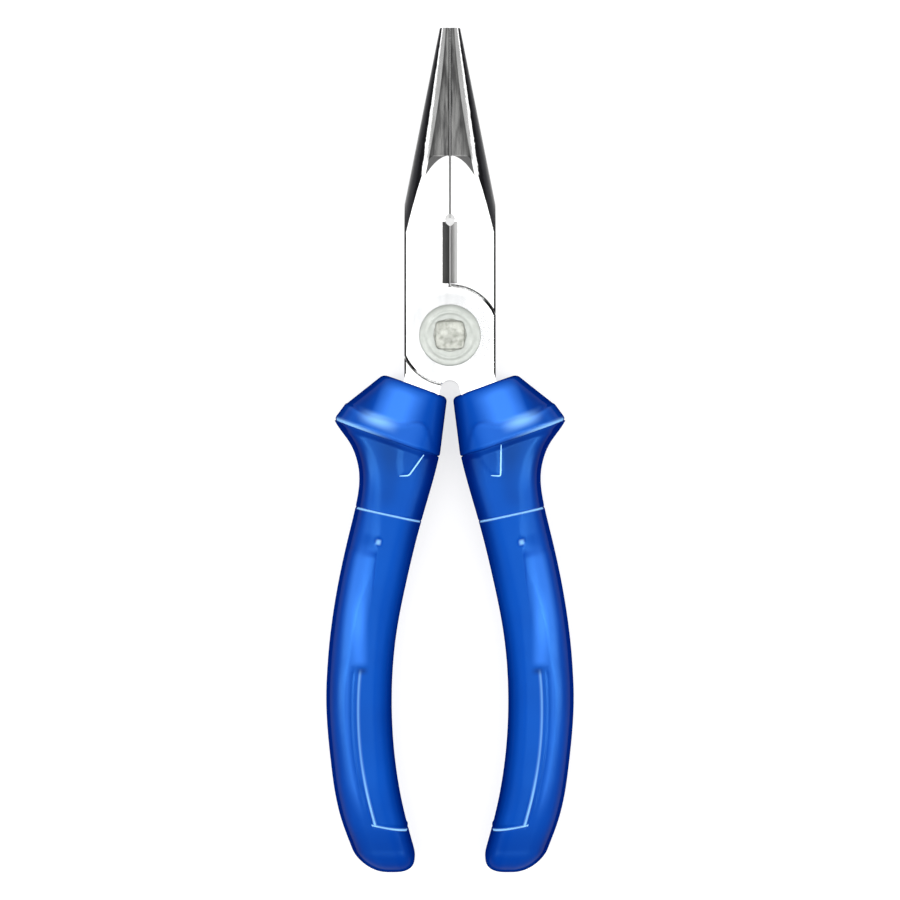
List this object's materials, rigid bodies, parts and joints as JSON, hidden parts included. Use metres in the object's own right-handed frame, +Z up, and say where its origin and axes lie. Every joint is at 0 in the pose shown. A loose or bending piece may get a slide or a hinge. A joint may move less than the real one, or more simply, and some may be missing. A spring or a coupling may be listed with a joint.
{
  "type": "long nose pliers",
  "caption": "Long nose pliers with serrated tapering jaws, a side cutter, a riveted lap joint and two-part moulded grips with thumb guards.",
  "frame": {"origin": "centre of the footprint, on the surface that the closed pliers lie on", "axes": "+Y along the pliers towards the jaws' tips, +Z up along the pivot's axis towards the rivet's squared end, +X across the handles"},
  "size_m": [0.0468, 0.16, 0.0135],
  "materials": {
    "forged_steel": "ground and satin polished",
    "rivet_steel": "polished, peened over",
    "sleeve_plastic": "glossy moulded blue plastic",
    "inlay_rubber": "smooth soft blue inlay"
  },
  "bodies": {
    "front_half": {"front_lever": "forged_steel", "pivot_rivet": "rivet_steel", "rivet_washer": "rivet_steel", "right_grip_sleeve": "sleeve_plastic", "right_grip_inlay": "inlay_rubber"},
    "rear_half": {"rear_lever": "forged_steel", "left_grip_sleeve": "sleeve_plastic", "left_grip_inlay": "inlay_rubber"}
  },
  "joints": [
    {"name": "pivot", "type": "hinge", "parent": "front_half", "child": "rear_half", "pos_m": [0, 0.0216, 0.00675], "axis": [0, 0, -1], "range_deg": [0, 45]}
  ]
}
